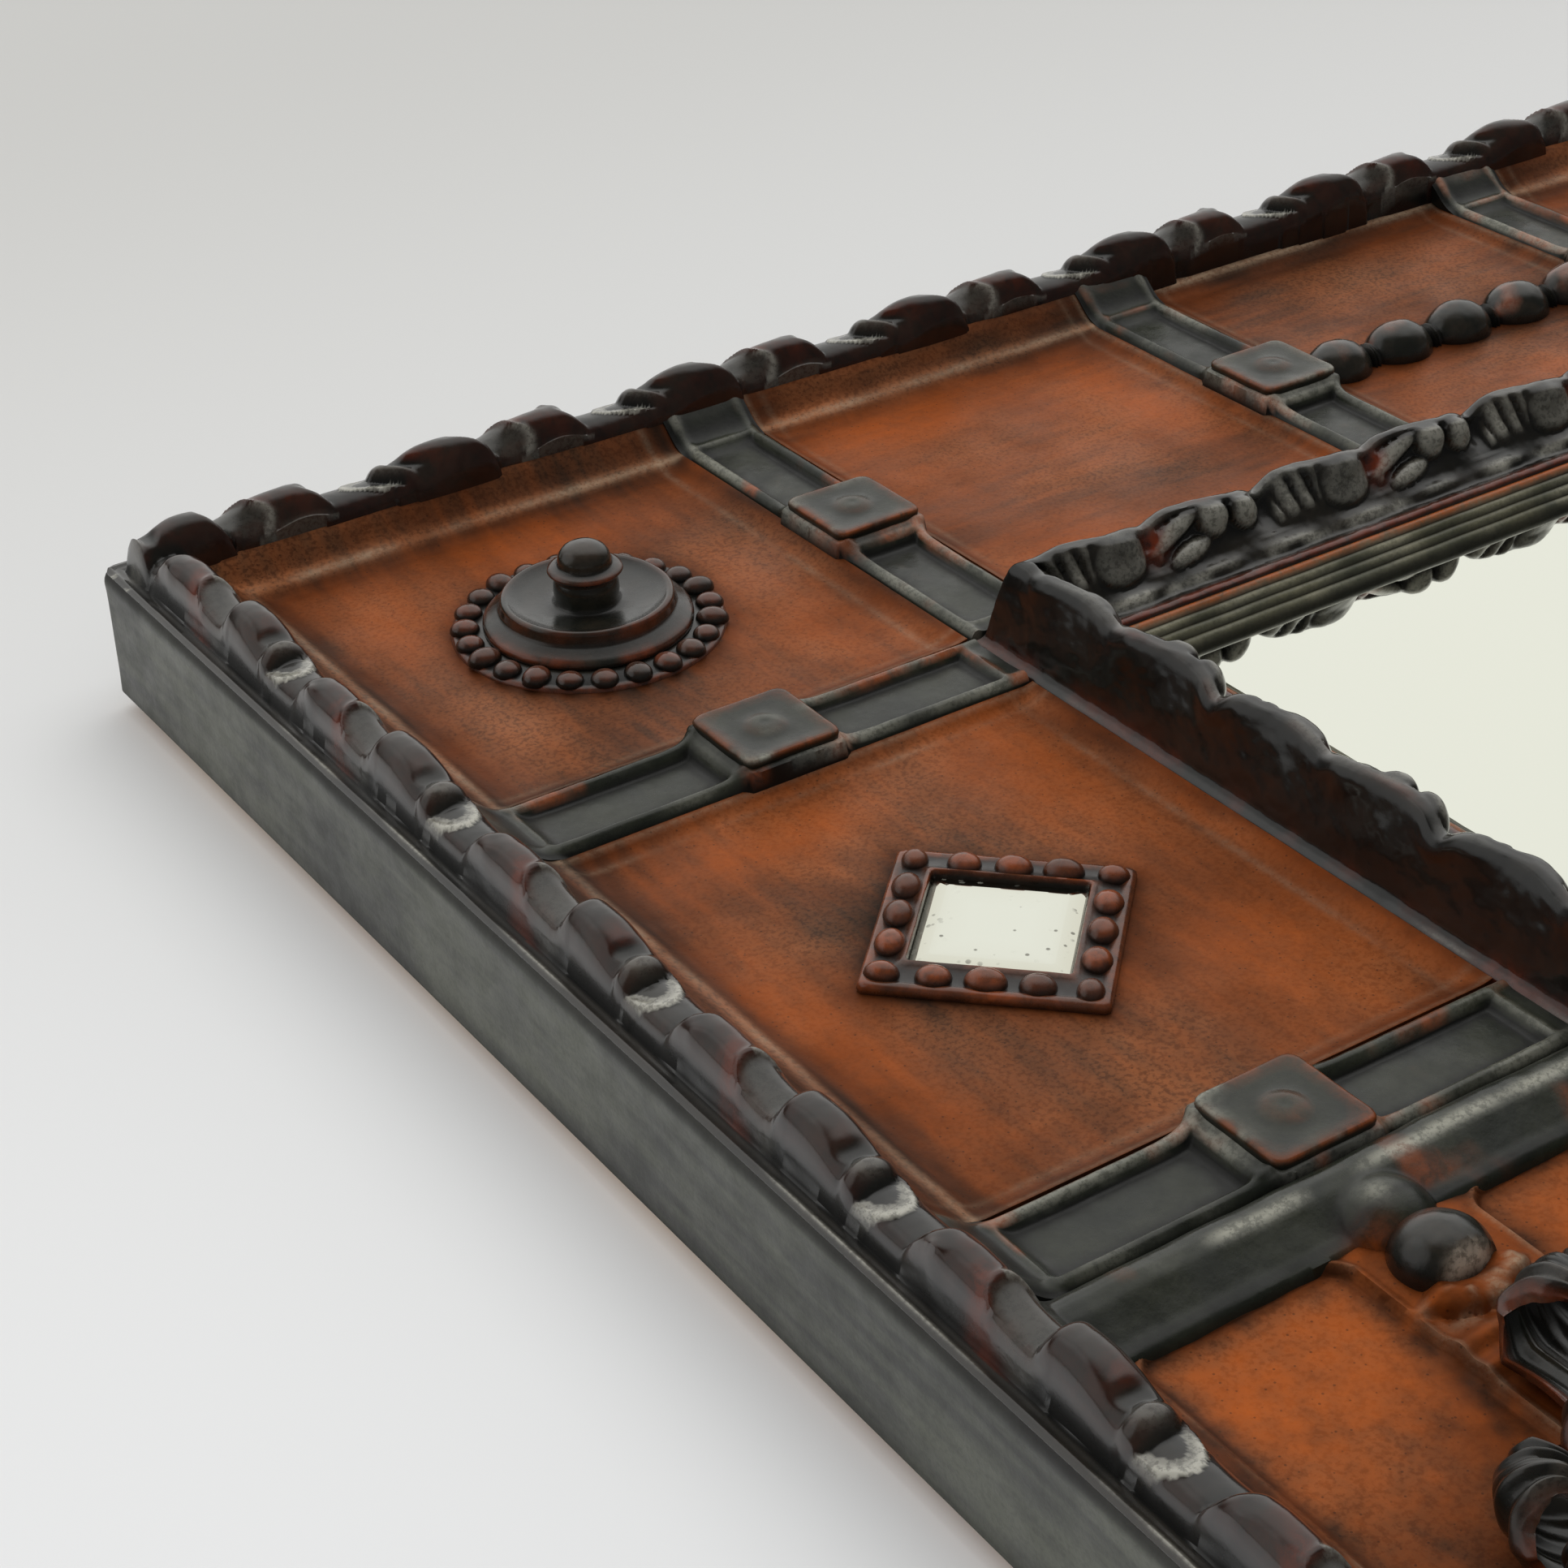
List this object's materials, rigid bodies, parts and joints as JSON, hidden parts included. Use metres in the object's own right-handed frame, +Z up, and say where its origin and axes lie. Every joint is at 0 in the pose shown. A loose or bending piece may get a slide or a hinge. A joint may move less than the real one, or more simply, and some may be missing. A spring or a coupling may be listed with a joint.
{
  "type": "wall mirror",
  "caption": "Portrait wall mirror in a deep embossed tin and copper frame with bossed corner panels, small cornerwise mirrors and strapwork.",
  "frame": {"origin": "middle of the rear face, on the wall plane", "axes": "+Z up as hung, +Y out of the back towards the wall, +X to the right seen from the front; the face looks along -Y"},
  "size_m": [0.73, 0.0544, 0.924],
  "materials": {
    "wood": "sawn pine, unfinished",
    "backing": "pressed hardboard",
    "mirror": "silvered plate",
    "small_mirror": "bevelled plate with worn silvering",
    "copper_panel": "embossed sheet with an orange and brown patina",
    "side_sheet": "rolled sheet with a grey-green patina",
    "dark_moulding": "embossed sheet, near black, rubbed on the high spots",
    "sight_tin": "drawn sheet moulding, grey-green",
    "strap_tin": "pressed sheet, dark grey-green",
    "boss_metal": "turned and beaded metal, dark and glossy",
    "bezel_metal": "beaded metal, brown-black",
    "hardware_steel": "plated steel"
  },
  "bodies": {
    "frame": {"backing_board": "backing", "backing_brads": "hardware_steel", "bead_panel_bottom": "copper_panel", "bead_panel_top": "copper_panel", "bead_rod_bottom": "boss_metal", "bead_rod_top": "boss_metal", "board_bottom": "wood", "board_left": "wood", "board_right": "wood", "board_top": "wood", "border_bottom": "dark_moulding", "border_left": "dark_moulding", "border_right": "dark_moulding", "border_top": "dark_moulding", "centre_ornament_left": "dark_moulding", "centre_ornament_right": "dark_moulding", "corner_boss_knobs": "boss_metal", "corner_boss_rings": "boss_metal", "corner_panel_bottom_left": "copper_panel", "corner_panel_bottom_right": "copper_panel", "corner_panel_top_left": "copper_panel", "corner_panel_top_right": "copper_panel", "hanger_plate_left": "hardware_steel", "hanger_plate_right": "hardware_steel", "hanger_screws": "hardware_steel", "leaf_moulding_bottom": "dark_moulding", "leaf_moulding_left": "dark_moulding", "leaf_moulding_right": "dark_moulding", "leaf_moulding_top": "dark_moulding", "mirror_glass": "mirror", "mirror_panel_left_lower": "copper_panel", "mirror_panel_left_upper": "copper_panel", "mirror_panel_right_lower": "copper_panel", "mirror_panel_right_upper": "copper_panel", "ornament_panel_left": "copper_panel", "ornament_panel_right": "copper_panel", "plain_panel_bottom_left": "copper_panel", "plain_panel_bottom_right": "copper_panel", "plain_panel_top_left": "copper_panel", "plain_panel_top_right": "copper_panel", "side_skin_bottom": "side_sheet", "side_skin_left": "side_sheet", "side_skin_right": "side_sheet", "side_skin_top": "side_sheet", "sight_moulding_bottom": "sight_tin", "sight_moulding_left": "sight_tin", "sight_moulding_right": "sight_tin", "sight_moulding_top": "sight_tin", "small_mirror_bezels": "bezel_metal", "small_mirror_plates": "small_mirror", "strap_clasps": "strap_tin", "straps_bottom": "strap_tin", "straps_left": "strap_tin", "straps_right": "strap_tin", "straps_top": "strap_tin"},
    "ring_left": {"hanger_ring_left": "hardware_steel"},
    "ring_right": {"hanger_ring_right": "hardware_steel"}
  },
  "joints": [
    {"name": "ring_left_swing", "type": "hinge", "parent": "frame", "child": "ring_left", "pos_m": [-0.275, 0.0026, 0.252], "axis": [1, 0, 0], "range_deg": [0, 180]},
    {"name": "ring_right_swing", "type": "hinge", "parent": "frame", "child": "ring_right", "pos_m": [0.275, 0.0026, 0.252], "axis": [1, 0, 0], "range_deg": [0, 180]}
  ]
}
